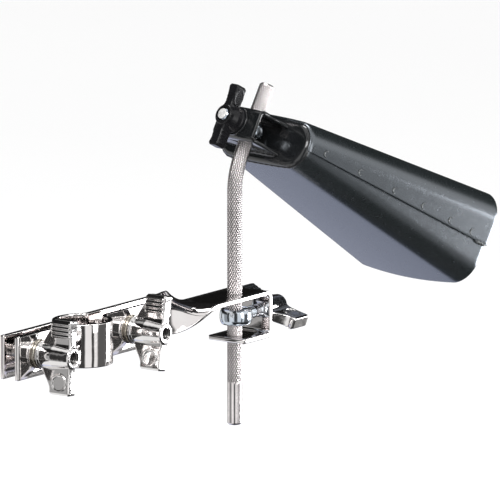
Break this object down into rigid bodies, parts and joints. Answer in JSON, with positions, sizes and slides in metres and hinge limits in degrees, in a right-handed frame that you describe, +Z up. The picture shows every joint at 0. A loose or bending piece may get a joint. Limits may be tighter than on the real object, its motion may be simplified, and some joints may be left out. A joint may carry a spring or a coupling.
{
  "type": "cowbell with rod and tube clamp",
  "caption": "Black steel cowbell on a bent knurled rod, held by a chromed tube clamp with a twisted strap arm, eye bolts and wing nuts.",
  "frame": {"origin": "on the axis of the stand tube, halfway up the clamp's strap", "axes": "+Z up along the tube, +X along the arm away from the tube, -Y towards the front jaw and its wing nuts"},
  "size_m": [0.4307, 0.1193, 0.2171],
  "materials": {
    "chrome_strip": "polished chrome plate on bent steel strip",
    "chrome_bolt": "chrome plated bolt",
    "zinc_washer": "plain plated steel",
    "chrome_casting": "chrome plated casting",
    "knurled_rod": "chrome plated, diamond knurl",
    "zinc_eye": "bright plated steel, slightly blue",
    "black_shell": "satin black coat over sheet steel",
    "gloss_black": "gloss black coat",
    "bare_weld": "coated weld bead, rough",
    "black_plastic": "moulded plastic"
  },
  "bodies": {
    "clamp_arm": {"back_strap": "chrome_strip", "left_bolt": "chrome_bolt", "right_bolt": "chrome_bolt", "rod_washer": "zinc_washer"},
    "clamp_jaw": {"front_jaw": "chrome_strip", "left_washer": "zinc_washer", "right_washer": "zinc_washer"},
    "left_wing": {"left_wing_nut": "chrome_casting"},
    "right_wing": {"right_wing_nut": "chrome_casting"},
    "rod": {"rod": "knurled_rod"},
    "rod_eye": {"rod_eye_bolt": "zinc_eye"},
    "rod_wing": {"rod_wing_nut": "chrome_casting"},
    "bell": {"upper_shell": "black_shell", "lower_shell": "black_shell", "crown_cap": "gloss_black", "crown_weld": "gloss_black", "bell_bracket": "gloss_black", "bracket_welds": "gloss_black", "spot_welds": "black_shell", "seam_beads": "bare_weld", "bell_washer": "gloss_black"},
    "bell_eye": {"bell_eye_bolt": "zinc_eye"},
    "bell_wing": {"bell_wing_nut": "black_plastic", "bell_nut_insert": "zinc_washer"}
  },
  "joints": [
    {"name": "jaw_slide", "type": "slide", "parent": "clamp_arm", "child": "clamp_jaw", "axis": [0, -1, 0], "range_m": [0, 0.00564]},
    {"name": "left_wing_turn", "type": "hinge", "parent": "clamp_jaw", "child": "left_wing", "pos_m": [-0.048, -0.0046, 0], "axis": [0, -1, 0], "range_deg": [0, 1445]},
    {"name": "right_wing_turn", "type": "hinge", "parent": "clamp_jaw", "child": "right_wing", "pos_m": [0.048, -0.0046, 0], "axis": [0, -1, 0], "range_deg": [0, 1445]},
    {"name": "rod_slide", "type": "slide", "parent": "clamp_arm", "child": "rod", "axis": [0, 0, 1], "range_m": [-0.04, 0.045]},
    {"name": "rod_wing_turn", "type": "hinge", "parent": "clamp_arm", "child": "rod_wing", "pos_m": [0.1943, 0.0095, -0.0135], "axis": [1, 0, 0], "range_deg": [0, 724]},
    {"name": "rod_eye_slide", "type": "slide", "parent": "clamp_arm", "child": "rod_eye", "axis": [-1, 0, 0], "range_m": [0, 0.00282]},
    {"name": "bell_swivel", "type": "hinge", "parent": "rod", "child": "bell", "pos_m": [0.18657, 0.0071, 0.10343], "axis": [0.4731, -0.0826, 0.8771], "range_deg": [-70, 70]},
    {"name": "bell_wing_turn", "type": "hinge", "parent": "bell", "child": "bell_wing", "pos_m": [0.18657, 0.0071, 0.10343], "axis": [-0.8641, 0.1508, 0.4802], "range_deg": [0, 364]},
    {"name": "bell_eye_slide", "type": "slide", "parent": "bell", "child": "bell_eye", "axis": [0.8641, -0.1508, -0.4802], "range_m": [0, 0.00141]}
  ],
  "couplings": [
    {"joint": "left_wing_turn", "follows": "jaw_slide", "rad_per_m": 4453},
    {"joint": "right_wing_turn", "follows": "jaw_slide", "rad_per_m": 4453},
    {"joint": "rod_wing_turn", "follows": "rod_eye_slide", "rad_per_m": 4453},
    {"joint": "bell_wing_turn", "follows": "bell_eye_slide", "rad_per_m": 4453}
  ]
}
